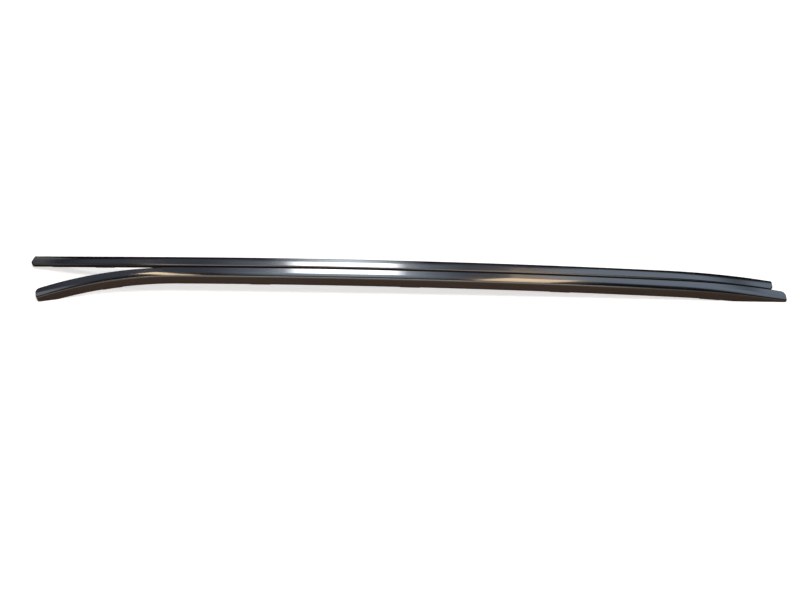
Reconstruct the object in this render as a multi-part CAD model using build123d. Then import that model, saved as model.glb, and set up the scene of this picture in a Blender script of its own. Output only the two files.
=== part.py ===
from build123d import *
from math import cos, degrees, hypot, radians, sin
import os

# A pair of roof side rails lying base down, side by side, outer edges together.
# Millimetres. +X runs from the front tips to the rear tips, +Y from the right-hand
# rail to the left-hand rail and +Z up from the ground.

# Curve of the top centre line, with distances measured along it
rail_length = 1850.0
front_bend_length = 360.0
front_bend_radius = 1135.0
front_bend_tilt = 50.0  # degrees from straight down towards the inner side
crest_run = 260.0  # from the front bend to the highest point
crown_radius = 22000.0
rear_bend_length = 260.0
rear_bend_radius = 1850.0
tip_height = 6.0  # top of the lower tip above the ground

# Lie of the pair
lip_gap = 6.5
rail_stagger = 29.0

# Outside of the section
top_width = 34.0
flat_width = 17.0  # flat of the top beside the outer edge
inner_height = 26.0
crown_rise = 1.5  # from the inner side up to the flat
inner_round = 4.0
lip_height = 5.2
lip_flat = 1.5
lip_round = 0.8
lip_reach = 6.5
foot_width = 15.5
foot_height = 8.0
foot_round = 1.0
soft_round = 2.0

# Inside of the section
wall = 2.6
web = 2.0
chamber_round = 1.5
slot_lip = 2.4
slot_height = 7.0
slot_gap = 6.8

# Seal strip and its groove under the outer lip
groove_width = 2.2
groove_depth = 2.2
groove_inset = 3.0
seal_clearance = 0.05
blade_drop = 4.2
blade_tip = 1.6
blade_inset = 0.4

# End caps
cap_length = 80.0
cap_wall = 2.5
tip_wall = 6.0
tip_round = 3.5
tip_outer_round = 14.0  # in plan
tip_inner_round = 6.0
tip_clearance = 0.3
rib_count = 2
rib_thickness = 2.0
spigot_length = 45.0
spigot_clearance = 0.2
spigot_pocket = 14.0

# Cap screws
screw_radius = 1.75
screw_length = 9.0
screw_hole_clearance = 0.2
screw_thread_clearance = 0.03
screw_seat_clearance = 0.02
screw_head_radius = 3.1
screw_head_height = 2.2
screw_socket_width = 2.5
screw_socket_depth = 1.2

# Fixings
fixing_count = 5
fixing_margin = 190.0  # from each tip to its nearest fixing
nut_length = 22.0
nut_height = 5.0
nut_side_clearance = 0.15
nut_seat_clearance = 0.02
thread_radius = 2.5
pad_length = 56.0
pad_thickness = 2.0
pad_inset = 2.25
pad_hole_radius = 4.2
pad_glue = 0.6  # adhesive tape between a pad and the foot

# Edges and levels of the section: X outwards and Y up from the top centre line
outer = top_width / 2
inner = -outer
shoulder = -crown_rise
crown_edge = outer - flat_width
outer_round = lip_height - lip_flat - lip_round
lip_edge = outer - lip_reach
lip_bottom = -lip_height
foot_edge = inner + foot_width
foot_mid = inner + foot_width / 2
foot_bottom = -inner_height
foot_top = foot_bottom + foot_height
slot_width = foot_width - 2 * wall
slot_floor = foot_bottom + slot_lip
slot_roof = slot_floor + slot_height
web_top = slot_roof + web
groove_mid = outer - groove_inset

# Alignments for what stands on a line or plane, and for what hangs below one
standing = (Align.CENTER, Align.MIN)
hanging = (Align.CENTER, Align.MAX)
rising = (Align.CENTER, Align.CENTER, Align.MIN)
sinking = (Align.CENTER, Align.CENTER, Align.MAX)


def slope_edge(level, inset):
    """Section X of the sloping underside, moved inwards by inset, at a level."""
    run = lip_edge - foot_edge
    rise = lip_bottom - foot_top
    return foot_edge + ((level - foot_top) * run - inset * hypot(run, rise)) / rise


def polygon(*points):
    """A face with straight sides."""
    return make_face(Polyline(*points, close=True))


def rounded(face, corners):
    """The face with the corner nearest to each given point rounded."""
    for x, y, radius in corners:
        face = fillet(face.vertices().sort_by_distance((x, y, 0))[0], radius)
    return face


# Outer shape of the section: top that rolls off inwards, tall inner side, thin outer lip and foot
flat = Line((outer, 0), (crown_edge, 0))
crown = TangentArc((crown_edge, 0), (inner, shoulder), tangent=(-1, 0))
lower = Polyline(
    (outer, 0),
    (outer, lip_bottom),
    (lip_edge, lip_bottom),
    (foot_edge, foot_top),
    (foot_edge, foot_bottom),
    (inner, foot_bottom),
    (inner, shoulder),
)
corners = [
    (inner, shoulder, inner_round),
    (outer, 0, outer_round),
    (outer, lip_bottom, lip_round),
    (lip_edge, lip_bottom, soft_round),
    (foot_edge, foot_top, soft_round),
    (foot_edge, foot_bottom, foot_round),
    (inner, foot_bottom, foot_round),
]
outline = rounded(make_face(flat + crown + lower), corners)

# Profile section: the outline less the hollow chamber, the fixing slot and the seal groove
chamber_top = shoulder - wall
chamber = polygon(
    (inner + wall, web_top),
    (inner + wall, chamber_top),
    (slope_edge(chamber_top, wall), chamber_top),
    (slope_edge(web_top, wall), web_top),
)
chamber = fillet(chamber.vertices(), chamber_round)
slot_mouth = Pos(foot_mid, slot_floor)
slot = slot_mouth * Rectangle(slot_width, slot_height, align=standing)
slot += slot_mouth * Rectangle(slot_gap, 4 * slot_lip)
groove = Pos(groove_mid, lip_bottom) * Rectangle(groove_width, 2 * groove_depth)
profile_section = outline - chamber - slot - groove

# Seal section: a tapered blade below the lip and a root in the groove
blade_edge = outer - blade_inset
blade = polygon(
    (groove_mid - groove_width / 2, lip_bottom),
    (blade_edge, lip_bottom),
    (blade_edge, lip_bottom - blade_drop),
    (blade_edge - blade_tip, lip_bottom - blade_drop),
)
root_width = groove_width - 2 * seal_clearance
root_height = groove_depth - seal_clearance
seal_section = blade + Pos(groove_mid, lip_bottom) * Rectangle(root_width, root_height, align=standing)

# Cap sections: the outline with a moulded blade, the pocket open below, and the spigot
cap_section = outline + blade
pocket_top = shoulder - cap_wall
pocket_bottom = 2 * foot_bottom
pocket = polygon(
    (inner + cap_wall, pocket_bottom),
    (inner + cap_wall, pocket_top),
    (slope_edge(pocket_top, cap_wall), pocket_top),
    (slope_edge(foot_top, cap_wall), foot_top),
    (foot_edge - cap_wall, pocket_bottom),
)
spigot_section = offset(chamber, -spigot_clearance)
spigot_bore = offset(chamber, -spigot_clearance - cap_wall)

# Section of a nut plate, and of the layer that the sealing pads are cut from
nut_width = slot_width - 2 * nut_side_clearance
nut_bottom = slot_floor + nut_seat_clearance
nut_section = Pos(foot_mid, nut_bottom) * Rectangle(nut_width, nut_height, align=standing)
pad_width = foot_width - 2 * pad_inset
pad_top = foot_bottom - pad_glue
pad_layer = Pos(foot_mid, pad_top) * Rectangle(foot_width, pad_thickness, align=hanging)


def carry(station, centre_way, radius, distance):
    """A station moved along a circular bend whose centre lies along centre_way."""
    angle = distance / radius
    along = station.z_dir
    axis = along.cross(centre_way)
    origin = station.origin + (along * sin(angle) + centre_way * (1 - cos(angle))) * radius
    turned = centre_way * cos(angle) - along * sin(angle)
    across = turned * station.x_dir.dot(centre_way) + axis * station.x_dir.dot(axis)
    return Plane(origin, x_dir=across, z_dir=along * cos(angle) + centre_way * sin(angle))


# The right-hand rail's centre line is three tangent bends: front, middle and rear.
# A station is a section plane on it: X outwards, Y up, Z rearwards.
# Each bend is its start, end, a known distance, the station there, the way to its
# centre and its radius.
down = Vector(0, 0, -1)
crest = Plane((0, 0, 0), x_dir=(0, 1, 0), z_dir=(1, 0, 0))
crest_at = front_bend_length + crest_run
rear_bend_at = rail_length - rear_bend_length
front_joint = carry(crest, down, crown_radius, -crest_run)
rear_joint = carry(crest, down, crown_radius, rear_bend_at - crest_at)
tilt = radians(front_bend_tilt)
front_way = front_joint.y_dir * -cos(tilt) + front_joint.x_dir * -sin(tilt)
rear_way = rear_joint.y_dir * -1
bends = [
    (0, front_bend_length, front_bend_length, front_joint, front_way, front_bend_radius),
    (front_bend_length, rear_bend_at, crest_at, crest, down, crown_radius),
    (rear_bend_at, rail_length, rear_bend_at, rear_joint, rear_way, rear_bend_radius),
]


def station_at(distance):
    """The station at a distance from the front tip."""
    bend = next(bend for bend in bends if distance <= bend[1])
    known, station, centre_way, radius = bend[2:]
    return carry(station, centre_way, radius, distance - known)


def along_rail(section, first, last):
    """The section turned about each bend's axis in turn, from first to last."""
    runs = []
    for start, end, known, station, centre_way, radius in bends:
        low = max(first, start)
        high = min(last, end)
        if high > low:
            face = carry(station, centre_way, radius, low - known) * section
            axis = Axis(station.origin + centre_way * radius, station.z_dir.cross(centre_way))
            runs.append(revolve(face, axis, degrees((high - low) / radius)))
    return runs[0].fuse(*runs[1:], glue=True) if len(runs) > 1 else runs[0]


def upright(distance, level):
    """A plane over the middle of the foot at a level, with Z along the section's Y."""
    station = station_at(distance)
    origin = station.origin + station.x_dir * foot_mid + station.y_dir * level
    return Plane(origin, x_dir=station.z_dir, z_dir=station.y_dir)


def span(start, into, length):
    """First and last distance of a length that runs from start, rearwards if into is 1."""
    return sorted((start, start + into * length))


# Both tips are cut flat along the ground, which lies below the lower one
ground = min(station_at(0).origin.Z, station_at(rail_length).origin.Z) - tip_height


def cut_flat(shape):
    """The shape without what dips below the ground."""
    middle = Pos(rail_length / 2 - crest_at, 0, ground)
    return shape - middle * Box(2 * rail_length, rail_length, 4 * inner_height, align=sinking)


def tip_edge(block, way):
    """The upright edge at the end of a block, on the side that way gives along X."""
    return block.edges().filter_by(Axis.Y).group_by(Axis.Z)[0].sort_by(Axis.X)[-1 if way > 0 else 0]


def tip_rounding(tip, into):
    """What is cut off a cap's tip to round its top edge and its corners in plan."""
    end = station_at(tip)
    width = top_width + 2 * tip_clearance
    height = 2 * inner_height
    depth = 2 * tip_outer_round
    below_top = (Align.CENTER, Align.MAX, Align.MIN)
    block = Pos(0, tip_clearance) * Box(width, height, depth, align=below_top)
    block = fillet(tip_edge(block, into), tip_outer_round)
    block = fillet(tip_edge(block, -into), tip_inner_round)
    block = fillet(block.faces().sort_by(Axis.Z)[0].edges().sort_by(Axis.Y)[-1], tip_round)
    around = Pos(0, height / 2, -depth) * Box(2 * width, 2 * height, 2 * depth, align=below_top)
    facing = Plane(end.origin, x_dir=end.x_dir * into, z_dir=end.z_dir * into)
    return facing * (around - block)


def screw_at(joint, into):
    """Distance of a cap's screw, in the middle of the solid part of its spigot."""
    return joint + into * (spigot_length - spigot_pocket) / 2


def end_cap(tip, into):
    """A cap from its tip to the profile: rounded nose with ribs below, spigot and screw hole."""
    joint = tip + into * cap_length
    nose = along_rail(cap_section, *span(tip, into, cap_length)) - tip_rounding(tip, into)
    bay = (cap_length - tip_wall - cap_wall - rib_count * rib_thickness) / (rib_count + 1)
    for index in range(rib_count + 1):
        bay_start = tip + into * (tip_wall + index * (bay + rib_thickness))
        nose -= along_rail(pocket, *span(bay_start, into, bay))
    spigot = along_rail(spigot_section, *span(joint, into, spigot_length))
    spigot_end = joint + into * spigot_length
    spigot -= along_rail(spigot_bore, *span(spigot_end, -into, spigot_pocket))
    thread = Cylinder(screw_radius + screw_thread_clearance, 2 * (screw_length + web))
    return cut_flat(nose) + spigot - upright(screw_at(joint, into), slot_roof) * thread


def cap_screw(distance):
    """A screw with its head under the web and its shank up through it."""
    screw = Cylinder(screw_radius, screw_length, align=rising)
    screw += Cylinder(screw_head_radius, screw_head_height, align=sinking)
    socket = extrude(RegularPolygon(screw_socket_width / 2, 6, major_radius=False), screw_socket_depth)
    screw -= Pos(0, 0, -screw_head_height) * socket
    return upright(distance, slot_roof - screw_seat_clearance) * screw


def nut_plate(distance):
    """A threaded plate on the lips of the fixing slot."""
    plate = along_rail(nut_section, *span(distance - nut_length / 2, 1, nut_length))
    return plate - upright(distance, nut_bottom) * Cylinder(thread_radius, 4 * nut_height)


def sealing_pad(distance):
    """A pad with round ends and a bolt hole, under the foot."""
    layer = along_rail(pad_layer, *span(distance - pad_length, 1, 2 * pad_length))
    shape = SlotOverall(pad_length, pad_width) - Circle(pad_hole_radius)
    return layer & upright(distance, pad_top) * extrude(shape, 2 * pad_thickness, both=True)


# Pieces of the right-hand rail, around its crest
profile_first = cap_length
profile_last = rail_length - cap_length
right = {
    "rail_profile": cut_flat(along_rail(profile_section, profile_first, profile_last)),
    "seal_strip": cut_flat(along_rail(seal_section, profile_first, profile_last)),
}
for end_name, tip, into in (("front", 0, 1), ("rear", rail_length, -1)):
    right[f"{end_name}_cap"] = end_cap(tip, into)
    distance = screw_at(tip + into * cap_length, into)
    right[f"{end_name}_cap_screw"] = cap_screw(distance)
    screw_hole = Cylinder(screw_radius + screw_hole_clearance, 4 * web)
    right["rail_profile"] -= upright(distance, slot_roof + web / 2) * screw_hole
fixing_pitch = (rail_length - 2 * fixing_margin) / (fixing_count - 1)
for index in range(fixing_count):
    distance = fixing_margin + index * fixing_pitch
    right[f"nut_plate_{index + 1}"] = nut_plate(distance)
    right[f"sealing_pad_{index + 1}"] = sealing_pad(distance)

# Lay both rails on the ground with the middle of the pair's footprint at the origin
front_end = right["front_cap"].bounding_box().min.X
rear_end = right["rear_cap"].bounding_box().max.X
middle = (front_end + rear_end + rail_stagger) / 2
aside = outer + lip_gap / 2
os.makedirs("parts", exist_ok=True)
for name, shape in right.items():
    left_shape = Pos(-middle, aside, -ground) * mirror(shape, about=Plane.XZ)
    right_shape = Pos(rail_stagger - middle, -aside, -ground) * shape
    export_step(left_shape, f"parts/left_{name}.step")
    export_step(right_shape, f"parts/right_{name}.step")
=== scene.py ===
from math import cos, pi, sin

import bmesh
import bpy
import numpy as np
from bpy.props import FloatProperty, FloatVectorProperty, IntProperty, PointerProperty
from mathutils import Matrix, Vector
from mathutils.geometry import tessellate_polygon


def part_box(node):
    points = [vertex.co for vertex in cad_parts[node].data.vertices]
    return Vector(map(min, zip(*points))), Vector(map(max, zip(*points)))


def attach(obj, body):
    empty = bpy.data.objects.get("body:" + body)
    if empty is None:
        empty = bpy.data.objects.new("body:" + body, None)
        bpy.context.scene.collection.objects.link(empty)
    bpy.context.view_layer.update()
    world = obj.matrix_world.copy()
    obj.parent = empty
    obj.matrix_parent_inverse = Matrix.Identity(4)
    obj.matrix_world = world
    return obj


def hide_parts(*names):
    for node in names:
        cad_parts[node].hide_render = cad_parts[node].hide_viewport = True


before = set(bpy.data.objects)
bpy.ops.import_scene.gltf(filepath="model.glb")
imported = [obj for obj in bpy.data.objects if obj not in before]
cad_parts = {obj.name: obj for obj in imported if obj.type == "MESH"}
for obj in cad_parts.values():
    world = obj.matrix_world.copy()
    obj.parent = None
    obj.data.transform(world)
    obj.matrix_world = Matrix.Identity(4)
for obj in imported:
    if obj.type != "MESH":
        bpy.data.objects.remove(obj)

bl_info = {
    "name": "Roof Side Rail Pair",
    "version": (1, 0, 0),
    "blender": (4, 5, 0),
    "location": "3D View > Sidebar > Roof Rails",
    "description": "Builds the visible surfaces of a pair of roof side rails and a studio around them",
    "category": "Object",
}

SIDES = ("left", "right")
ENDS = ("front", "rear")
STEPS = 6  # facets of each rounded corner of a section
EDGE_POINTS = 4  # points of each small quarter round along an edge
NOSE_ROWS, BLOCK_ROWS, TOP_COLUMNS = 25, 24, 41  # of the block that rounds a cap's tip
BAY_ROWS, SPIGOT_ROWS = 5, 6  # of a cap's hollows and of its spigot
PIN_SIDES = 32  # of the pins that cut the screws' holes
SCREW_SIDES, SCREW_RINGS, HEAD_POINTS = 48, 84, 5  # round a screw, along its shank and round its head's edge
NUT_SIDE_POINTS, NUT_RINGS = 8, 56  # along a nut plate's sides and along its thread
PAD_END_POINTS, PAD_SIDE_POINTS, PAD_RINGS = 25, 20, 4  # of a pad's outline and of its hole
MERGE_GAP = 2e-6  # points closer than this become one, in metres
SLIVER = 1e-7  # edges shorter than this are dissolved, in metres
GROUND_GAP = 1e-6  # points this close to the ground lie on it, in metres
SHARP_TURN = 0.6  # an edge that turns more is sharp where no normals are held, in radians
TINY = 1e-9  # keeps a division from 0
MILLIMETRES = 1000  # in a metre
SENSOR_WIDTH = 36  # of the camera, in millimetres
CLIP_END = 100  # the furthest that the camera sees, in metres
FLOOR_REACH = 40  # half the floor's side, in metres
FLOOR_DROP = 0.0002  # from the ground down to the floor, in metres
WHITE = (1.0, 1.0, 1.0)
SLATE = (0.67, 0.84, 1.0)
LIGHT_TARGET = (0, 0, 0.03)  # all lights face it

# Name, centre, width and height, radiance, tint, and the shares of width and height that fade
SOFTBOXES = (
    ("back_box", (-0.26, 2.26, 2.0), (0.57, 0.26), 14, WHITE, (0.32, 0.2)),
    ("haze_box", (-0.25, 2.30, 1.45), (0.72, 0.80), 4.6, (0.80, 0.92, 1.0), (1.0, 0.4)),
    ("cool_box", (-0.27, 2.26, 2.45), (1.4, 1.1), 3.0, (0.70, 0.84, 1.0), (1.0, 0.5)),
    ("side_box", (1.6, 2.4, 2.25), (2.3, 1.0), 1.15, SLATE, (0.3, 0.6)),
    ("tail_box", (2.45, 2.4, 1.7), (1.3, 0.9), 1.1, SLATE, (0.5, 0.5)),
    ("warm_box", (0.60, 2.26, 2.62), (0.40, 1.15), 7.5, (1.0, 0.74, 0.48), (0.2, 0.5)),
    ("warm_strip", (-1.28, 2.26, 2.75), (0.26, 1.1), 8.0, (1.0, 0.76, 0.50), (0.2, 0.2)),
    ("tip_box", (-2.80, 2.26, 2.45), (0.9, 1.6), 0.9, (0.88, 0.95, 1.0), (0.5, 0.4)),
    ("left_box", (-2.0, 2.26, 1.0), (0.6, 0.9), 0.5, (0.95, 0.97, 1.0), (0.7, 0.5)),
    ("front_box", (0, -4.2, 2.3), (4.2, 2.0), 2.0, (1.0, 0.94, 0.86), (0.5, 0.5)),
    ("top_box", (0.1, 0.35, 3.3), (1.6, 0.9), 1.6, (0.9, 0.95, 1.0), (0.9, 0.9)),
    ("key_box", (-0.2, -0.9, 3.4), (3.2, 1.4), 6, (1.0, 0.9, 0.78), (0.3, 0.3)),
)


# Properties

def length(label, meaning, size):
    """A length in metres."""
    return FloatProperty(
        name=label, description=meaning, default=size, precision=5, unit="LENGTH", subtype="DISTANCE"
    )


def share(label, meaning, value):
    """A number from 0 to 1."""
    return FloatProperty(name=label, description=meaning, default=value, min=0.0, max=1.0, subtype="FACTOR")


def colour(label, meaning, value):
    """A linear colour."""
    return FloatVectorProperty(
        name=label, description=meaning, default=value, min=0.0, max=1.0, subtype="COLOR"
    )


def place(label, meaning, value):
    """A point in the row frame."""
    return FloatVectorProperty(
        name=label, description=meaning, default=value, unit="LENGTH", subtype="TRANSLATION"
    )


class RailCurve(bpy.types.PropertyGroup):
    """Centre line of a rail's top: three tangent bends, measured from the front tip."""
    rail_length: length("Rail length", "Length along the rail from tip to tip", 1.85)
    front_bend_length: length("Front bend length", "Length of the bend at the front", 0.36)
    front_bend_radius: length("Front bend radius", "Radius of the bend at the front", 1.135)
    front_bend_tilt: FloatProperty(
        name="Front bend tilt",
        description="Lean of the front bend from straight down towards the inner side",
        default=50 * pi / 180,
        subtype="ANGLE",
    )
    crest_run: length("Crest run", "From the front bend to the highest point", 0.26)
    crown_radius: length("Crown radius", "Radius of the long middle bend", 22.0)
    rear_bend_length: length("Rear bend length", "Length of the bend at the rear", 0.26)
    rear_bend_radius: length("Rear bend radius", "Radius of the bend at the rear", 1.85)
    step: length("Station step", "Distance between the cross sections of the mesh", 0.008)


class RailSection(bpy.types.PropertyGroup):
    """Section of the profile and of the seal under its lip."""
    top_width: length("Top width", "Width of the section", 0.034)
    flat_width: length("Flat width", "Flat of the top beside the outer edge", 0.017)
    inner_height: length("Inner height", "Height of the inner side", 0.026)
    crown_rise: length("Crown rise", "From the inner side up to the flat", 0.0015)
    inner_round: length("Inner round", "Radius between the top and the inner side", 0.004)
    lip_height: length("Lip height", "Height of the outer lip", 0.0052)
    outer_round: length("Outer round", "Radius between the top and the outer lip", 0.0029)
    lip_round: length("Lip round", "Radius under the outer lip", 0.0008)
    lip_reach: length("Lip reach", "Width of the lip's flat underside", 0.0065)
    foot_width: length("Foot width", "Width of the foot", 0.0155)
    foot_height: length("Foot height", "Height of the foot's outer side", 0.008)
    foot_round: length("Foot round", "Radius at the foot's lower edges", 0.001)
    soft_round: length("Soft round", "Radius in the hollow corners of the underside", 0.002)
    wall: length("Wall", "Wall of the chamber and of the slot", 0.0026)
    web: length("Web", "Wall between the chamber and the slot", 0.002)
    chamber_round: length("Chamber round", "Radius in the corners of the chamber", 0.0015)
    slot_lip: length("Slot lip", "Thickness of the lips of the fixing slot", 0.0024)
    slot_height: length("Slot height", "Height of the fixing slot over its lips", 0.007)
    slot_gap: length("Slot gap", "Gap between the lips of the fixing slot", 0.0068)
    groove_width: length("Groove width", "Width of the seal's groove", 0.0022)
    groove_depth: length("Groove depth", "Depth of the seal's groove", 0.0022)
    groove_inset: length("Groove inset", "From the outer side to the middle of the groove", 0.003)
    seal_clearance: length("Seal clearance", "Play of the seal in its groove", 0.00005)
    blade_drop: length("Blade drop", "Height of the seal's blade", 0.0042)
    blade_tip: length("Blade tip", "Thickness of the blade's lower edge", 0.0016)
    blade_inset: length("Blade inset", "From the outer side to the blade", 0.0004)
    fine_round: length("Fine round", "Radius of the small extruded corners", 0.0002)
    end_round: length("End round", "Radius of the deburred edges at a joint", 0.00015)


class RailCap(bpy.types.PropertyGroup):
    """Moulded end caps and their screws."""
    cap_length: length("Cap length", "From the tip to the profile", 0.08)
    cap_wall: length("Cap wall", "Wall of the cap", 0.0025)
    tip_wall: length("Tip wall", "Solid length at the tip", 0.006)
    tip_round: length("Tip round", "Radius of the tip's top edge", 0.0035)
    tip_outer_round: length("Tip outer round", "Radius in plan of the tip's outer corner", 0.014)
    tip_inner_round: length("Tip inner round", "Radius in plan of the tip's inner corner", 0.0061)
    tip_clearance: length("Tip clearance", "Play of the tip's rounding around the section", 0.0003)
    rib_count: IntProperty(name="Ribs", description="Ribs across the cap's hollow", default=2, min=0)
    rib_thickness: length("Rib thickness", "Thickness of a rib", 0.002)
    pocket_round: length("Pocket round", "Radius in the hollow's corners", 0.0008)
    spigot_length: length("Spigot length", "Length of the spigot in the chamber", 0.045)
    spigot_clearance: length("Spigot clearance", "Play of the spigot in the chamber", 0.0002)
    spigot_pocket: length("Spigot pocket", "Depth of the hollow in the spigot's end", 0.014)
    screw_radius: length("Screw radius", "Radius over the screw's thread", 0.00175)
    screw_length: length("Screw length", "Length of the shank", 0.009)
    screw_pitch: length("Screw pitch", "Pitch of the screw's thread", 0.0013)
    screw_thread: length("Screw thread", "Depth of the screw's thread", 0.0003)
    screw_point: length("Screw point", "Length of the taper at the screw's end", 0.0015)
    screw_blunt: share("Screw blunt", "Share of its radius that the screw has at its end", 0.35)
    screw_seat: length("Screw seat", "Play under the screw's head", 0.00002)
    screw_hole: length("Screw hole", "Radius of the profile's hole for the screw", 0.00195)
    screw_bore: length("Screw bore", "Radius of the spigot's hole for the screw", 0.00178)
    head_radius: length("Head radius", "Radius of the head", 0.0031)
    head_height: length("Head height", "Height of the head", 0.0022)
    head_round: length("Head round", "Radius of the head's edge", 0.0005)
    socket_width: length("Socket width", "Width across the flats of the hexagon socket", 0.0025)
    socket_depth: length("Socket depth", "Depth of the hexagon socket", 0.0012)


class RailFixing(bpy.types.PropertyGroup):
    """Nut plates in the slot and sealing pads under the foot."""
    count: IntProperty(name="Fixings", description="Fixings on each rail", default=5, min=2)
    margin: length("Margin", "From each tip to its nearest fixing", 0.19)
    nut_length: length("Nut length", "Length of a nut plate", 0.022)
    nut_height: length("Nut height", "Thickness of a nut plate", 0.005)
    nut_side: length("Nut side", "Play beside a nut plate", 0.00015)
    nut_seat: length("Nut seat", "Play under a nut plate", 0.00002)
    nut_round: length("Nut round", "Radius of a nut plate's edges", 0.0004)
    nut_corner: length("Nut corner", "Radius in plan of a nut plate's corners", 0.001)
    thread_radius: length("Thread radius", "Inner radius of the thread", 0.0025)
    thread_depth: length("Thread depth", "Depth of the thread", 0.0005)
    thread_pitch: length("Thread pitch", "Pitch of the thread", 0.001)
    pad_length: length("Pad length", "Length of a sealing pad", 0.056)
    pad_thickness: length("Pad thickness", "Thickness of a sealing pad", 0.002)
    pad_inset: length("Pad inset", "From the foot's sides to a pad", 0.00225)
    pad_hole: length("Pad hole", "Radius of a pad's bolt hole", 0.0042)
    pad_round: length("Pad round", "Radius of a pad's soft edges", 0.0004)
    pad_glue: length("Pad glue", "Adhesive between a pad and the foot", 0.0006)


class RailFinish(bpy.types.PropertyGroup):
    """Colours and gloss."""
    lacquer: colour("Lacquer", "Gloss black of the profiles", (0.006, 0.0065, 0.008))
    lacquer_gloss: share("Lacquer roughness", "Roughness under the clear coat", 0.12)
    cap: colour("Cap", "Gloss black of the caps", (0.006, 0.0065, 0.008))
    rubber: colour("Rubber", "Black of the seals", (0.008, 0.008, 0.008))
    foam: colour("Foam", "Black of the pads", (0.02, 0.02, 0.021))
    steel: colour("Steel", "Plated steel", (0.62, 0.61, 0.57))


class RailStudio(bpy.types.PropertyGroup):
    """Camera, lights and floor."""
    camera: place("Camera", "Place of the camera", (0.0697, -3.478, 2.980))
    target: place("Target", "Point in the middle of the picture", (-0.0108, -0.0832, 0.0277))
    lens: FloatProperty(name="Lens", description="Focal length in millimetres", default=83.4, unit="CAMERA")
    sky: colour("Sky", "Band of dim cool light half way up", (0.25, 0.28, 0.37))
    sky_dark: colour("Dark sky", "Dark surroundings above and below that band", (0.012, 0.012, 0.015))
    sky_warm: colour("Warm sky", "Warm light in front and at the ends", (0.85, 0.74, 0.64))
    floor: colour("Floor", "Pale floor", (0.9, 0.9, 0.9))
    floor_warm: colour("Warm floor", "Floor in front as the rails mirror it", (0.53, 0.37, 0.29))
    floor_dark: colour("Dark floor", "Floor behind as the rails mirror it", (0.03, 0.03, 0.035))
    floor_lift: share("Floor lift", "Light added to the floor for the camera alone", 0.6)


# Curve of a rail. A station is a row of origin, outward, up and along.

def turned(vector, along, way, angle):
    """The vector turned by an angle about the cross product of along and way.

    With a, w and n its parts along the three, it becomes
    a (along cos + way sin) + w (way cos - along sin) + n (along x way).
    """
    normal = np.cross(along, way)
    c = np.cos(angle)[:, None]
    s = np.sin(angle)[:, None]
    ahead = (vector @ along) * (along * c + way * s)
    return ahead + (vector @ way) * (way * c - along * s) + (vector @ normal) * normal


def carried(station, way, radius, travel):
    """Stations that travelled along a bend whose centre lies along way.

    With a = travel / radius the origin moves by radius (along sin a + way (1 - cos a)).
    """
    origin, outward, up, along = station
    angle = np.atleast_1d(travel) / radius
    arc = along * np.sin(angle)[:, None] + way * (1 - np.cos(angle))[:, None]
    axes = [turned(vector, along, way, angle) for vector in (outward, up, along)]
    return np.stack([origin + radius * arc, *axes], axis=1)


def stations(curve, s):
    """Stations of the right-hand rail at distances s from its front tip, with its crest at the origin."""
    s = np.atleast_1d(np.asarray(s, float))
    crest = np.array([[0, 0, 0], [0, 1, 0], [0, 0, 1], [1, 0, 0]], float)
    crest_at = curve.front_bend_length + curve.crest_run
    rear_at = curve.rail_length - curve.rear_bend_length
    front_joint = carried(crest, -crest[2], curve.crown_radius, -curve.crest_run)[0]
    rear_joint = carried(crest, -crest[2], curve.crown_radius, rear_at - crest_at)[0]
    tilt = curve.front_bend_tilt
    front_way = -cos(tilt) * front_joint[2] - sin(tilt) * front_joint[1]
    front = carried(front_joint, front_way, curve.front_bend_radius, s - curve.front_bend_length)
    middle = carried(crest, -crest[2], curve.crown_radius, s - crest_at)
    rear = carried(rear_joint, -rear_joint[2], curve.rear_bend_radius, s - rear_at)
    at = s[:, None, None]
    return np.where(at < curve.front_bend_length, front, np.where(at > rear_at, rear, middle))


def swept(at, points, normals, ease=None):
    """Section points and normals set on stations: origin + x outward + y up.

    ease is inset and lean by station: points move in along their normals by inset, and normals
    lean along the rail.
    """
    if ease is not None:
        inset, lean = (value[:, None, None] for value in ease)
        points = points - normals * inset
        normals = normals * np.sqrt(1 - lean**2)
    origin, outward, up, along = (at[:, None, k] for k in range(4))
    lifted = points[..., :1] * outward + points[..., 1:] * up
    facing = normals[..., :1] * outward + normals[..., 1:] * up
    if ease is not None:
        facing = facing + lean * along
    return origin + lifted, facing


def eased(first, last, radius, between, low=True, high=True):
    """Distances from first to last with a quarter round at the chosen ends, and their inset and lean.

    At b from 0 to a right angle the round is radius (1 - cos b) from the end and radius (1 - sin b) in.
    """
    b = np.linspace(0, pi / 2, EDGE_POINTS)
    s, inset, lean = [between], [0 * between], [0 * between]
    if low:
        s.insert(0, first + radius * (1 - np.cos(b)))
        inset.insert(0, radius * (1 - np.sin(b)))
        lean.insert(0, -np.cos(b))
    if high:
        s.append(last - radius * (1 - np.cos(b[::-1])))
        inset.append(radius * (1 - np.sin(b[::-1])))
        lean.append(np.cos(b[::-1]))
    return np.concatenate(s), (np.concatenate(inset), np.concatenate(lean))


def evenly(first, last, step):
    """Distances strictly between first and last, about a step apart."""
    return np.linspace(first, last, max(int(round((last - first) / step)), 1) + 1)[1:-1]


# Sections, with x outwards and y up from the middle of the top

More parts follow.
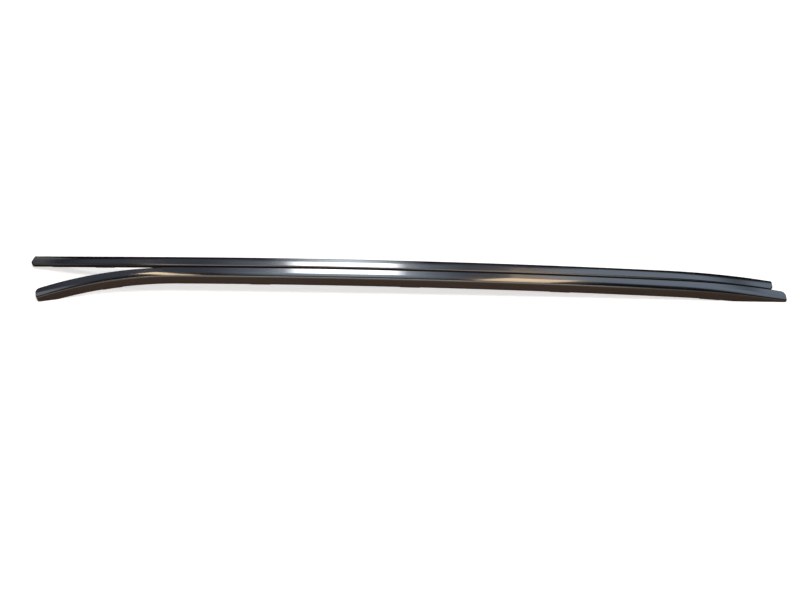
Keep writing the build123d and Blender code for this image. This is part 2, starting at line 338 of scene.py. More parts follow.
def rounded_loop(corners):
    """Points and outward normals round a counterclockwise loop of corners (x, y, radius).

    With a and b the unit ways from a corner to its neighbours and t half the angle between them, the arc's
    centre lies radius / sin t from the corner along a + b, and its ends radius / tan t along a and b.
    """
    corners = np.array(corners, float)
    here = corners[:, :2]
    radius = corners[:, 2, None]
    ways = np.stack([np.roll(here, 1, 0) - here, np.roll(here, -1, 0) - here])
    ways /= np.linalg.norm(ways, axis=2, keepdims=True)
    middle = ways.sum(0)
    middle /= np.linalg.norm(middle, axis=1, keepdims=True)
    half = np.arccos((ways[0] * middle).sum(1, keepdims=True))
    centre = here + middle * radius / np.sin(half)
    ends = (here + ways * radius / np.tan(half) - centre) / radius
    sweep = (pi - 2 * half)[:, None]
    part = np.linspace(0, 1, STEPS + 1)[:, None]
    fan = np.sin((1 - part) * sweep) * ends[0][:, None] + np.sin(part * sweep) * ends[1][:, None]
    fan /= np.sin(sweep)
    turn = np.sign(ways[0][:, 1] * ways[1][:, 0] - ways[0][:, 0] * ways[1][:, 1])[:, None, None]
    points = centre[:, None] + fan * radius[:, None]
    return points.reshape(-1, 2), (fan * turn).reshape(-1, 2)


class Levels:
    """Edges and levels of the section that follow from its sizes."""

    def __init__(self, section):
        self.outer = section.top_width / 2
        self.inner = -self.outer
        self.lip_edge = self.outer - section.lip_reach
        self.lip_bottom = -section.lip_height
        self.foot_edge = self.inner + section.foot_width
        self.foot_mid = self.inner + section.foot_width / 2
        self.foot_bottom = -section.inner_height
        self.foot_top = self.foot_bottom + section.foot_height
        self.slot_half = section.foot_width / 2 - section.wall
        self.slot_floor = self.foot_bottom + section.slot_lip
        self.slot_roof = self.slot_floor + section.slot_height
        self.web_top = self.slot_roof + section.web
        self.groove_mid = self.outer - section.groove_inset
        self.groove_half = section.groove_width / 2
        self.blade_edge = self.outer - section.blade_inset
        self.blade_bottom = self.lip_bottom - section.blade_drop

    def slope(self, level, inset):
        """Section x of the sloping underside, moved inwards by inset, at a level."""
        run = self.lip_edge - self.foot_edge
        rise = self.lip_bottom - self.foot_top
        return self.foot_edge + ((level - self.foot_top) * run - inset * np.hypot(run, rise)) / rise


def crown_corners(section):
    """Corners at the inner side, at the outer side and where the crown's end tangent meets the flat.

    The crown falls by h over a width w from the flat's edge c, with the radius R = (w w + h h) / 2h. A fillet
    of radius r touches it at the angle a whose sine is (r - w) / (R - r), where its tangent is
    (x - c) sin a + (y + R) cos a = R.
    """
    half = section.top_width / 2
    width = section.top_width - section.flat_width
    edge = half - section.flat_width
    radius = (width**2 + section.crown_rise**2) / (2 * section.crown_rise)
    lean = np.arcsin((section.inner_round - width) / (radius - section.inner_round))
    meets = (radius + width * np.sin(lean)) / np.cos(lean) - radius
    crown = edge + radius * (1 - np.cos(lean)) / np.sin(lean)
    return (-half, meets, section.inner_round), (half, 0, section.outer_round), (crown, 0, radius)


def profile_corners(section):
    """Outer loop of the profile, with the fixing slot and the seal's groove."""
    at = Levels(section)
    inner_top, outer_top, crown = crown_corners(section)
    fine = section.fine_round
    gap = section.slot_gap / 2
    slot = [
        (-gap, at.foot_bottom),
        (-gap, at.slot_floor),
        (-at.slot_half, at.slot_floor),
        (-at.slot_half, at.slot_roof),
    ]
    slot_loop = [(at.foot_mid + x, y, fine) for x, y in slot]
    slot_loop += [(at.foot_mid - x, y, fine) for x, y in reversed(slot)]
    groove_top = at.lip_bottom + section.groove_depth
    groove = [(-1, at.lip_bottom), (-1, groove_top), (1, groove_top), (1, at.lip_bottom)]
    return [
        inner_top,
        (at.inner, at.foot_bottom, section.foot_round),
        *slot_loop,
        (at.foot_edge, at.foot_bottom, section.foot_round),
        (at.foot_edge, at.foot_top, section.soft_round),
        (at.lip_edge, at.lip_bottom, section.soft_round),
        *[(at.groove_mid + x * at.groove_half, y, fine) for x, y in groove],
        (at.outer, at.lip_bottom, section.lip_round),
        outer_top,
        crown,
    ]


def chamber_corners(section, inset):
    """The chamber moved inwards by an inset, as a loop whose normals face its material."""
    at = Levels(section)
    wall = section.wall + inset
    top = -section.crown_rise - wall
    bottom = at.web_top + inset
    left = at.inner + wall
    loop = [(left, bottom), (at.slope(bottom, wall), bottom), (at.slope(top, wall), top), (left, top)]
    return [(x, y, max(section.chamber_round - inset, section.fine_round)) for x, y in loop]


def blade_corners(section):
    """The seal's blade from its lower edge up to the lip's outer side."""
    at = Levels(section)
    tip = section.blade_tip / 3
    return [
        (at.blade_edge - section.blade_tip, at.blade_bottom, tip),
        (at.blade_edge, at.blade_bottom, tip),
        (at.blade_edge, at.lip_bottom, section.fine_round),
    ]


def seal_corners(section):
    """Root of the seal in the groove and the tapered blade below it."""
    at = Levels(section)
    half = at.groove_half - section.seal_clearance
    top = at.lip_bottom + section.groove_depth - section.seal_clearance
    fine = section.fine_round
    return [
        (at.groove_mid - half, top, fine),
        (at.groove_mid - half, at.lip_bottom, fine),
        *blade_corners(section),
        (at.groove_mid + half, at.lip_bottom, fine),
        (at.groove_mid + half, top, fine),
    ]


def cap_corners(section):
    """Outer loop of a cap: the profile's outline with the blade moulded on and no slot or groove."""
    at = Levels(section)
    inner_top, outer_top, crown = crown_corners(section)
    fine = section.fine_round
    return [
        inner_top,
        (at.inner, at.foot_bottom, section.foot_round),
        (at.foot_edge, at.foot_bottom, section.foot_round),
        (at.foot_edge, at.foot_top, section.soft_round),
        (at.lip_edge, at.lip_bottom, section.soft_round / 2),
        (at.groove_mid - at.groove_half, at.lip_bottom, fine),
        *blade_corners(section),
        (at.outer, at.lip_bottom, fine),
        outer_top,
        crown,
    ]


# Meshes

class Shell:
    """Points, faces and corner normals of one piece, gathered patch by patch on the right-hand rail."""

    def __init__(self):
        self.patches = []

    def add(self, points, faces, normals):
        """Faces of one patch as rows of point numbers, with a normal for each corner."""
        self.patches.append((points.reshape(-1, 3), faces, normals))

    def grid(self, points, normals, shut=True, keep=None):
        """Quads of a grid of points, with the last column joined to the first if shut."""
        rows, columns = points.shape[:2]
        i, j = np.mgrid[: rows - 1, : columns - (not shut)]
        if keep is not None:
            i, j = i[keep], j[keep]
        after = (j + 1) % columns
        row, following = i * columns, (i + 1) * columns
        quads = np.stack([row + j, row + after, following + after, following + j], -1).reshape(-1, 4)
        self.add(points, quads, normals.reshape(-1, 3)[quads])

    def flat(self, station, loops, way):
        """A flat face across a station, inside the first loop and outside the others, facing along way.

        It is split into triangles in millimetres, because the points are too close together in metres.
        """
        flat = np.vstack(loops)
        outlines = [[Vector((x, y, 0)) for x, y in loop * MILLIMETRES] for loop in loops]
        triangles = np.array(tessellate_polygon(outlines))
        corner = flat[triangles]
        edge, other = corner[:, 1] - corner[:, 0], corner[:, 2] - corner[:, 0]
        facing = edge[:, 0] * other[:, 1] - edge[:, 1] * other[:, 0]
        triangles = np.where(facing[:, None] * way < 0, triangles[:, ::-1], triangles)
        points = station[0] + flat[:, :1] * station[1] + flat[:, 1:] * station[2]
        self.add(points, triangles, np.broadcast_to(station[3] * way, (*triangles.shape, 3)))

    def mesh(self, name, side):
        """The patches laid on a side's CAD profile and merged, with their normals held at the corners."""
        sign, shift = resting(side)
        mirror = np.array([1, sign, 1])
        points, faces, normals, count = [], [], [], 0
        for patch, rows, facing in self.patches:
            points.append(patch * mirror + shift)
            order = slice(None, None, sign)
            faces += (rows[:, order] + count).tolist()
            normals.append((facing[:, order] * mirror).reshape(-1, 3))
            count += len(patch)
        mesh = bpy.data.meshes.new(name)
        mesh.from_pydata(np.vstack(points), [], faces)
        held = mesh.attributes.new("held_normal", "FLOAT_VECTOR", "CORNER")
        held.data.foreach_set("vector", np.vstack(normals).ravel())
        merged(mesh)
        return mesh

    def piece(self, name, side, node, slot, grounded, tools):
        """The finished object: cut by its tools and along the ground, and shaded by its held normals.

        A tool is a closed shell and the boolean that it is used for.
        """
        mesh = self.mesh(name, side)
        if tools:
            mesh = carved(mesh, [(tool.mesh("tool", side), way) for tool, way in tools])
            mesh.name = name
        if grounded:
            cut_flat(mesh)
        mesh.polygons.foreach_set("use_smooth", np.ones(len(mesh.polygons), bool))
        vectors = np.zeros(len(mesh.loops) * 3)
        mesh.attributes["held_normal"].data.foreach_get("vector", vectors)
        vectors = vectors.reshape(-1, 3)
        size = np.linalg.norm(vectors, axis=1, keepdims=True)
        # A held normal is about 1 long. Where it is 0, Blender works the normal out.
        vectors = np.where(size > 0.5, vectors / np.maximum(size, 0.5), 0)
        mesh.attributes.remove(mesh.attributes["held_normal"])
        mesh.set_sharp_from_angle(angle=SHARP_TURN)
        mesh.normals_split_custom_set(vectors)
        mesh.materials.clear()
        mesh.materials.append(finish_for(slot))
        piece = bpy.data.objects.new(name, mesh)
        bpy.context.scene.collection.objects.link(piece)
        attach(piece, "root")
        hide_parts(node)
        return piece

    def pieces(self, name, node, slot, grounded=False, tools=()):
        """The left-hand and the right-hand piece, with the side before the name and the node."""
        return [self.piece(f"{side}_{name}", side, f"{side}_{node}", slot, grounded, tools) for side in SIDES]


def resting(side):
    """Sign of y and the shift that lay the right-hand rail's own coordinates on a side's CAD profile."""
    scene = bpy.context.scene
    low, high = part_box(f"{side}_rail_profile")
    curve = scene.rail_curve
    half = scene.rail_section.top_width / 2
    end = stations(curve, curve.rail_length - scene.rail_cap.cap_length)[0, 0]
    if side == "right":
        return 1, np.array([high.x - end[0], high.y - half, high.z])
    return -1, np.array([high.x - end[0], low.y + half, high.z])


def merged(mesh):
    """Merges the points that the mesh's patches share and turns all faces outwards."""
    work = bmesh.new()
    work.from_mesh(mesh)
    bmesh.ops.remove_doubles(work, verts=work.verts, dist=MERGE_GAP)
    bmesh.ops.dissolve_degenerate(work, edges=work.edges, dist=SLIVER)
    bmesh.ops.recalc_face_normals(work, faces=work.faces)
    work.to_mesh(mesh)
    work.free()


def carved(mesh, tools):
    """The mesh after an exact boolean with each tool's mesh in turn."""
    scene = bpy.context.scene
    body = bpy.data.objects.new("body", mesh)
    scene.collection.objects.link(body)
    for tool_mesh, way in tools:
        tool = bpy.data.objects.new("tool", tool_mesh)
        scene.collection.objects.link(tool)
        cut = body.modifiers.new("cut", "BOOLEAN")
        cut.operation = way
        cut.solver = "EXACT"
        cut.object = tool
    graph = bpy.context.evaluated_depsgraph_get()
    cut_body = body.evaluated_get(graph)
    done = bpy.data.meshes.new_from_object(cut_body, preserve_all_data_layers=True, depsgraph=graph)
    for used in [body, *(cut.object for cut in body.modifiers)]:
        spent = used.data
        bpy.data.objects.remove(used)
        bpy.data.meshes.remove(spent)
    return done


def cut_flat(mesh):
    """Cuts the mesh along z = 0 and closes the cut."""
    work = bmesh.new()
    work.from_mesh(mesh)
    parts = work.verts[:] + work.edges[:] + work.faces[:]
    ground = {"plane_co": (0, 0, 0), "plane_no": (0, 0, -1), "clear_outer": True}
    cut = bmesh.ops.bisect_plane(work, geom=parts, dist=GROUND_GAP, **ground)
    rim = [part for part in cut["geom_cut"] if isinstance(part, bmesh.types.BMEdge)]
    if rim:
        filled = bmesh.ops.triangle_fill(work, edges=rim, normal=(0, 0, -1), use_beauty=True)
        faces = [part for part in filled["geom"] if isinstance(part, bmesh.types.BMFace)]
        work.normal_update()
        bmesh.ops.reverse_faces(work, faces=[face for face in faces if face.normal.z > 0])
        held = work.loops.layers.float_vector["held_normal"]
        for face in faces:
            for corner in face.loops:
                corner[held] = (0, 0, -1)
    work.to_mesh(mesh)
    work.free()


def shaped(scene):
    """The scene's curve, section, cap and fixing."""
    return scene.rail_curve, scene.rail_section, scene.rail_cap, scene.rail_fixing


# Materials

class Nodes:
    """A node tree whose nodes are added by kind and joined as they are made."""

    def __init__(self, tree):
        self.tree = tree

    def node(self, kind, inputs=None, **settings):
        """A node with its settings, and its inputs joined to sockets or set to values."""
        made = self.tree.nodes.new(kind)
        for setting, value in settings.items():
            setattr(made, setting, value)
        for name, value in (inputs or {}).items():
            if isinstance(value, bpy.types.NodeSocket):
                self.tree.links.new(value, made.inputs[name])
            else:
                made.inputs[name].default_value = value
        return made

    def ranged(self, value, low, high, start=0.35, stop=0.65, kind="LINEAR"):
        """A value from start to stop spread over low to high. Noise lies mostly between the defaults."""
        values = {"Value": value, "From Min": start, "From Max": stop, "To Min": low, "To Max": high}
        return self.node("ShaderNodeMapRange", values, interpolation_type=kind).outputs["Result"]

    def maths(self, operation, *values):
        """A value worked out from one or two values."""
        return self.node("ShaderNodeMath", dict(enumerate(values)), operation=operation).outputs[0]

    def mixed(self, factor, first, second):
        """Two colours, or sockets with colours, mixed by a factor."""
        sides = [c if isinstance(c, bpy.types.NodeSocket) else (*c, 1) for c in (first, second)]
        return self.node("ShaderNodeMix", {0: factor, 6: sides[0], 7: sides[1]}, data_type="RGBA").outputs[2]

    def blended(self, factor, first, second):
        """Two shaders mixed by a factor."""
        return self.node("ShaderNodeMixShader", {0: factor, 1: first, 2: second}).outputs[0]


class Finish(Nodes):
    """A principled material over the object's own coordinates."""

    def __init__(self, name, **values):
        self.material = bpy.data.materials.new(name)
        self.material.use_nodes = True
        super().__init__(self.material.node_tree)
        self.shader = self.tree.nodes["Principled BSDF"]
        for socket, value in values.items():
            self.shader.inputs[socket.replace("_", " ")].default_value = value
        self.spot = self.node("ShaderNodeTexCoord").outputs["Object"]

    def noise(self, scale, detail=2.0, rough=0.5):
        """Fractal noise over the object's coordinates, scale features to a metre."""
        values = {"Vector": self.spot, "Scale": scale, "Detail": detail, "Roughness": rough}
        return self.node("ShaderNodeTexNoise", values).outputs["Fac"]

    def facing_down(self):
        """From 0 on upright faces to 1 on faces that look down."""
        normal = self.node("ShaderNodeNewGeometry").outputs["Normal"]
        level = self.node("ShaderNodeSeparateXYZ", {0: normal}).outputs["Z"]
        return self.ranged(level, 0, 1, start=-0.15, stop=-0.6, kind="SMOOTHSTEP")

    def bumped(self, height, depth, strength):
        """A bump of a height from 0 to 1, whose full depth is in metres."""
        values = {"Height": height, "Distance": depth, "Strength": strength}
        return self.node("ShaderNodeBump", values).outputs["Normal"]

    def join(self, **sockets):
        """Sockets joined to the shader's inputs."""
        for name, value in sockets.items():
            self.tree.links.new(value, self.shader.inputs[name.replace("_", " ")])
        return self.material


def shade(base, factor):
    """A colour times a factor."""
    return tuple(min(c * factor, 1) for c in base)


def gloss_black(name, base, roughness, peel):
    """Gloss black under a clear coat with orange peel, peel features to a metre.

    Below, where little spray reaches, it is duller and thinly coated, with pale specks.
    """
    made = Finish(name, Coat_IOR=1.5, IOR=1.5, Coat_Roughness=0.015)
    below = made.facing_down()
    cloud = made.noise(scale=9, detail=3)
    tint = made.mixed(made.ranged(cloud, 0, 1), shade(base, 0.8), shade(base, 1.25))
    specks = made.ranged(made.noise(scale=900, detail=4, rough=0.7), 0, 0.5, start=0.5, stop=0.75)
    tint = made.mixed(made.maths("MULTIPLY", below, specks), tint, shade(base, 6))
    sheen = made.ranged(cloud, roughness * 0.8, roughness * 1.3)
    dull = made.maths("ADD", sheen, made.maths("MULTIPLY", below, 0.25))
    skin = made.bumped(made.noise(scale=peel), depth=0.00001, strength=0.10)
    coat = made.ranged(below, 1.0, 0.3, start=0, stop=1)
    return made.join(Base_Color=tint, Roughness=dull, Coat_Weight=coat, Normal=skin, Coat_Normal=skin)


def rubber(name, base):
    """Matt extruded rubber with cloudy bloom and a fine grain."""
    made = Finish(name, Specular_IOR_Level=0.35)
    bloom = made.noise(scale=60, detail=4, rough=0.6)
    tint = made.mixed(made.ranged(bloom, 0, 1), shade(base, 0.7), shade(base, 1.8))
    grain = made.bumped(made.noise(scale=3800), depth=0.00003, strength=0.3)
    return made.join(Base_Color=tint, Roughness=made.ranged(bloom, 0.62, 0.8), Normal=grain)


def foam(name, base):
    """Closed-cell foam: rounded cells, with painted shade darkening the gaps between them."""
    made = Finish(name, Specular_IOR_Level=0.25)
    cells = made.node("ShaderNodeTexVoronoi", {"Vector": made.spot, "Scale": 1500.0}).outputs["Distance"]
    # The colour falls from each cell's middle to its edge: painted shade in the gaps between the cells. The
    # bump below makes the domes.
    tint = made.mixed(made.ranged(cells, 0, 1, start=0.1, stop=0.7), shade(base, 1.6), shade(base, 0.5))
    domes = made.bumped(cells, depth=-0.0002, strength=0.6)
    return made.join(Base_Color=tint, Roughness=made.ranged(made.noise(scale=200), 0.8, 0.95), Normal=domes)


def plated(name, base):
    """Zinc plated steel: cloudy brightness and a fine grain."""
    made = Finish(name, Metallic=1.0)
    cloud = made.noise(scale=350, detail=4, rough=0.6)
    tint = made.mixed(made.ranged(cloud, 0, 1), shade(base, 0.85), shade(base, 1.08))
    grain = made.bumped(made.noise(scale=5200), depth=0.00001, strength=0.15)
    return made.join(Base_Color=tint, Roughness=made.ranged(cloud, 0.24, 0.4), Normal=grain)


def finish_for(slot):
    """The material of a slot of the record, made once."""
    name = "finish_" + slot
    found = bpy.data.materials.get(name)
    if found:
        return found
    look = bpy.context.scene.rail_finish
    makers = {
        "rail_black": lambda: gloss_black(name, look.lacquer, look.lacquer_gloss, peel=700),
        "cap_black": lambda: gloss_black(name, look.cap, look.lacquer_gloss, peel=450),
        "seal_rubber": lambda: rubber(name, look.rubber),
        "pad_foam": lambda: foam(name, look.foam),
        "plated_steel": lambda: plated(name, look.steel),
    }
    return makers[slot]()


# Pieces

def extruded(curve, cap, loops, edge):
    """Loops of points and normals carried along a rail from cap to cap, with flat ends and rounded edges.

    The first loop is the outside and the others are hollows. All normals face out of the material.
    """
    first, last = cap.cap_length, curve.rail_length - cap.cap_length
    s, ease = eased(first, last, edge, evenly(first + edge, last - edge, curve.step))
    at = stations(curve, s)
    shell = Shell()
    for loop in loops:
        shell.grid(*swept(at, *loop, ease))
    ends = [points - normals * edge for points, normals in loops]
    shell.flat(at[0], ends, -1)
    shell.flat(at[-1], ends, 1)
    return shell


def profile_shell(curve, section, cap):
    """The extruded profile: its outer loop and its chamber, sawn off flat."""
    points, normals = rounded_loop(chamber_corners(section, 0))
    loops = [rounded_loop(profile_corners(section)), (points[::-1], -normals[::-1])]
    return extruded(curve, cap, loops, section.end_round)


def seal_shell(curve, section, cap):
    """The extruded seal strip with cut ends."""
    return extruded(curve, cap, [rounded_loop(seal_corners(section))], section.end_round / 2)


def from_end(curve, end):
    """Distance of an end's tip from the front tip, and the way from it into the rail."""
    return (0, 1) if end == "front" else (curve.rail_length, -1)


def tip_block(curve, section, cap, end):
    """The rounded block that a cap is kept inside, from its tip to past its spigot.

    In plan it is a rectangle with rounded corners at the tip. At depth d and with q = max(corner - d, 0) its
    half width is reach + sqrt(corner corner - q q), and a point lies in from its edge by the margin
    m = corner - hypot(over, q), with over the part of its x beyond reach. The top there is
    t + sqrt(r r - (r - m)(r - m)), with t the level under the top edge's round of radius r.
    """
    tip, into = from_end(curve, end)
    far = cap.cap_length + cap.spigot_length + cap.tip_outer_round
    nose = cap.tip_outer_round * (1 - np.cos(np.linspace(0, pi / 2, NOSE_ROWS)))
    depth = np.concatenate([nose, np.linspace(cap.tip_outer_round, far, BLOCK_ROWS)[1:]])
    across = np.sin(np.linspace(-pi / 2, pi / 2, TOP_COLUMNS))
    corner = np.where(across > 0, cap.tip_outer_round, cap.tip_inner_round)
    reach = section.top_width / 2 + cap.tip_clearance - corner
    short = np.maximum(corner - depth[:, None], 0)
    x = across * (reach + np.sqrt(corner**2 - short**2))
    over = np.maximum(np.abs(x) - reach, 0)
    away = np.hypot(over, short)
    lean = np.clip(1 - (corner - away) / cap.tip_round, 0, 1)
    rise = np.sqrt(1 - lean**2)
    y = cap.tip_clearance - cap.tip_round * (1 - rise)
    away = np.maximum(away, TINY)
    top = np.stack([x, y], -1)
    facing = np.stack([lean * over / away * np.sign(x), rise, -into * lean * short / away], -1)
    # Below the top edge the block goes straight down, in line with the edge in plan
    edge = top[:, [0, -1]]
    side = np.stack([edge[..., 0], np.full(edge.shape[:2], -2 * section.inner_height)], -1)
    side_facing = facing[:, [0, -1]] * [1, 0, 1]
    loops = np.concatenate([top[:, ::-1], edge[:, :1], side, edge[:, 1:]], axis=1)
    ways = np.concatenate([facing[:, ::-1], side_facing[:, [0, 0, 1, 1]]], axis=1)
    if into < 0:
        depth, loops, ways = depth[::-1], loops[::-1], ways[::-1]
    at = stations(curve, tip + into * depth)
    origin, outward, up, along = (at[:, None, k] for k in range(4))
    points = origin + loops[..., :1] * outward + loops[..., 1:] * up
    normals = ways[..., :1] * outward + ways[..., 1:2] * up + ways[..., 2:] * along
    shell = Shell()
    shell.grid(points, normals)
    # The ends leave out the two repeated points at the top edge
    kept = np.r_[:TOP_COLUMNS, TOP_COLUMNS + 1, TOP_COLUMNS + 2]
    shell.flat(at[0], [loops[0, kept]], -1)
    shell.flat(at[-1], [loops[-1, kept]], 1)
    return shell


def spokes(station, turn):
    """Unit vectors round a station's up axis, at angles from along to outward."""
    return np.cos(turn)[:, None] * station[3] + np.sin(turn)[:, None] * station[1]


def pin_shell(curve, section, distance, radius, low, high):
    """A round pin over the middle of the foot, for cutting a hole: its held normals face its axis."""
    station = stations(curve, distance)[0]
    spoke = spokes(station, np.linspace(0, 2 * pi, PIN_SIDES, endpoint=False))
    foot = station[0] + Levels(section).foot_mid * station[1]
    shell = Shell()
    points = np.stack([foot + radius * spoke + level * station[2] for level in (low, high)])
    shell.grid(points, np.broadcast_to(-spoke, points.shape))
    for rim, way in zip(points, (1, -1)):
        fan = np.stack([np.roll(rim, 1, 0), rim, np.broadcast_to(rim.mean(0), rim.shape)])
        rows = np.arange(3 * PIN_SIDES).reshape(3, PIN_SIDES).T[:, ::-way]
        shell.add(fan, rows, np.broadcast_to(station[2] * way, (PIN_SIDES, 3, 3)))
    return shell


def screw_distance(curve, cap, end):
    """Distance of a cap's screw from the front tip, in the middle of the solid part of its spigot."""
    tip, into = from_end(curve, end)
    return tip + into * (cap.cap_length + (cap.spigot_length - cap.spigot_pocket) / 2)


def cap_shell(curve, section, cap, end):
    """An end cap before its tip is rounded: hollows below and a spigot that goes into the chamber."""
    at = Levels(section)
    tip, into = from_end(curve, end)
    edge = section.end_round
    joint = cap.cap_length
    bays = cap.rib_count + 1
    bay = (joint - cap.tip_wall - cap.cap_wall - cap.rib_count * cap.rib_thickness) / bays
    starts = cap.tip_wall + np.arange(bays) * (bay + cap.rib_thickness)
    fill = np.concatenate([np.linspace(start, start + bay, BAY_ROWS) for start in starts])
    depth, ease = eased(0, joint, edge, np.concatenate([[-cap.cap_wall, 0], fill]), low=False)
    inset, lean = ease
    if into < 0:
        depth, inset, lean = depth[::-1], inset[::-1], -lean[::-1]
    place_at = stations(curve, tip + into * depth)
    loop, facing = rounded_loop(cap_corners(section))
    inside = cap.cap_wall
    wall_in = np.array([at.inner + inside, at.foot_bottom])
    wall_out = np.array([at.foot_edge - inside, at.foot_bottom])
    # The foot's underside comes after the loop's first two corners. The hollows open there.
    cut = 2 * (STEPS + 1)
    loop = np.insert(loop, cut, [wall_in, wall_out], axis=0)
    facing = np.insert(facing, cut, [[0, -1], [0, -1]], axis=0)
    shell = Shell()
    spans = [sorted(np.abs(depth - d).argmin() for d in (start, start + bay)) for start in starts]
    keep = np.ones((len(depth) - 1, len(loop)), bool)
    for low, high in spans:
        keep[low:high, cut] = False
    shell.grid(*swept(place_at, loop, facing, (inset, lean)), keep=keep)
    tip_row, joint_row = (0, -1) if into > 0 else (-1, 0)
    shell.flat(place_at[tip_row], [loop], -into)
    top = -section.crown_rise - inside
    corners = [
        wall_in,
        (at.inner + inside, top),
        (at.slope(top, inside), top),
        (at.slope(at.foot_top, inside), at.foot_top),
        wall_out,
    ]
    hollow, hollow_facing = rounded_loop([(x, y, cap.pocket_round) for x, y in corners])
    # A hollow's outline is sharp where it opens and rounded at its other three corners
    body = slice(STEPS + 1, 4 * (STEPS + 1))
    hollow = np.vstack([wall_in, hollow[body], wall_out])
    hollow_facing = hollow_facing[body]
    hollow_facing = np.vstack([hollow_facing[:1], hollow_facing, hollow_facing[-1:]])
    for low, high in spans:
        shell.grid(*swept(place_at[low : high + 1], hollow, hollow_facing), shut=False)
        shell.flat(place_at[low], [hollow], 1)
        shell.flat(place_at[high], [hollow], -1)
    # The spigot grows out of the joint's face and is hollow at its far end
    long = joint + cap.spigot_length
    deep = long - cap.spigot_pocket
    spigot, spigot_facing = rounded_loop(chamber_corners(section, cap.spigot_clearance))
    bore, bore_facing = rounded_loop(chamber_corners(section, cap.spigot_clearance + inside))
    shell.flat(place_at[joint_row], [loop - facing * edge, spigot], into)
    runs = ((spigot, spigot_facing, joint, long), (bore[::-1], -bore_facing[::-1], deep, long))
    for points, normals, near, far in runs:
        along = stations(curve, np.sort(tip + into * np.linspace(near, far, SPIGOT_ROWS)))
        shell.grid(*swept(along, points, normals))
    shell.flat(stations(curve, tip + into * long)[0], [spigot, bore], into)
    shell.flat(stations(curve, tip + into * deep)[0], [bore], into)
    return shell


def ridges(height, pitch, turn):
    """A thread from 0 to 1: a triangle wave of height / pitch - turn / 2 pi."""
    return np.abs((height / pitch - turn / (2 * pi)) % 1 - 0.5) * 2


def screw_shell(curve, section, cap, end):
    """A cap's screw: threaded shank up, round head with a hexagon socket down.

    It is made of rings, each a radius by turn and a height. The shank's radius is
    (screw radius - thread depth ridges) (blunt + (1 - blunt) p), with p falling from 1 to 0 along its point.
    """
    level = Levels(section)
    station = stations(curve, screw_distance(curve, cap, end))[0]
    turn = np.linspace(0, 2 * pi, SCREW_SIDES, endpoint=False)
    hexagon = cap.socket_width / 2 / np.cos((turn + pi / 6) % (pi / 3) - pi / 6)
    quarter = np.linspace(0, pi / 2, HEAD_POINTS)
    high = np.linspace(0, cap.screw_length, SCREW_RINGS)
    wave = ridges(high[:, None], cap.screw_pitch, turn)
    point = np.clip((cap.screw_length - high) / cap.screw_point, 0, 1)[:, None]
    shank = (cap.screw_radius - cap.screw_thread * wave) * (cap.screw_blunt + (1 - cap.screw_blunt) * point)
    low = -cap.head_height
    rim = cap.head_radius - cap.head_round * (1 - np.sin(quarter))
    rings = [(0 * turn, low + cap.socket_depth), (hexagon, low + cap.socket_depth), (hexagon, low)]
    rings += [(r + 0 * turn, low + cap.head_round * (1 - np.cos(b))) for r, b in zip(rim, quarter)]
    rings += [(cap.head_radius + 0 * turn, 0.0), (shank[0], 0.0)]
    rings += list(zip(shank[1:], high[1:])) + [(0 * turn, cap.screw_length)]
    radius = np.array([ring for ring, _ in rings])[..., None]
    height = np.array([z for _, z in rings])[:, None, None] + level.slot_roof - cap.screw_seat
    foot = station[0] + level.foot_mid * station[1]
    points = foot + radius * spokes(station, turn) + height * station[2]
    shell = Shell()
    shell.grid(points, np.zeros_like(points))
    return shell


def pierced_plate(curve, section, distance, outline, facing, low, high, edge, hole):
    """A plate with a round hole, bent along the rail.

    Columns go round the hole and rows round the plate's own section. outline and facing are points and
    normals as (along, outward). hole holds its radius, its rings' heights, and a function of height and
    turn that is added to the radius.
    """
    radius, heights, groove = hole
    turn = np.arctan2(outline[:, 1], outline[:, 0])
    spoke = np.stack([np.cos(turn), np.sin(turn)], axis=1)
    quarter = np.linspace(0, pi / 2, EDGE_POINTS)
    inset, rise = edge * (1 - np.sin(quarter)), edge * (1 - np.cos(quarter))
    rows = [(outline - facing * i, low + r) for i, r in zip(inset, rise)]
    rows += [(outline - facing * i, high - r) for i, r in zip(inset[::-1], rise[::-1])]
    rows.append((spoke * (radius + edge), high))
    rows += [(spoke * (radius + groove(height, turn))[:, None], height) for height in heights]
    rows.append((spoke * (radius + edge), low))
    flat = np.array([points for points, _ in rows])
    height = np.array([z for _, z in rows])[:, None, None]
    at = stations(curve, distance + flat[..., 0].ravel()).reshape(*flat.shape[:2], 4, 3)
    outward = Levels(section).foot_mid + flat[..., 1:]
    points = at[:, :, 0] + outward * at[:, :, 1] + height * at[:, :, 2]
    shell = Shell()
    ring = np.concatenate([points, points[:1]])
    shell.grid(ring, np.zeros_like(ring))
    return shell


def nut_shell(curve, section, fixing, distance):
    """A nut plate with a thread of triangular ridges."""
    level = Levels(section)
    half = level.slot_half - fixing.nut_side
    reach = fixing.nut_length / 2
    low = level.slot_floor + fixing.nut_seat
    high = low + fixing.nut_height
    square = [(-reach, -half), (reach, -half), (reach, half), (-reach, half)]
    loop, facing = rounded_loop([(x, y, fixing.nut_corner) for x, y in square])
    corners, normals = loop.reshape(4, -1, 2), facing.reshape(4, -1, 2)
    # More points along the four sides, between the last of one corner and the first of the next
    part = np.linspace(0, 1, NUT_SIDE_POINTS + 2)[1:-1, None]
    sides = corners[:, -1:] * (1 - part) + np.roll(corners, -1, 0)[:, :1] * part
    side_normals = np.broadcast_to(normals[:, -1:], sides.shape)
    outline = np.concatenate([corners, sides], axis=1).reshape(-1, 2)
    normal = np.concatenate([normals, side_normals], axis=1).reshape(-1, 2)
    edge = fixing.nut_round

    def thread(height, turn):
        return fixing.thread_depth * ridges(height, fixing.thread_pitch, turn)

    hole = fixing.thread_radius, np.linspace(high - edge, low + edge, NUT_RINGS), thread
    return pierced_plate(curve, section, distance, outline, normal, low, high, edge, hole)


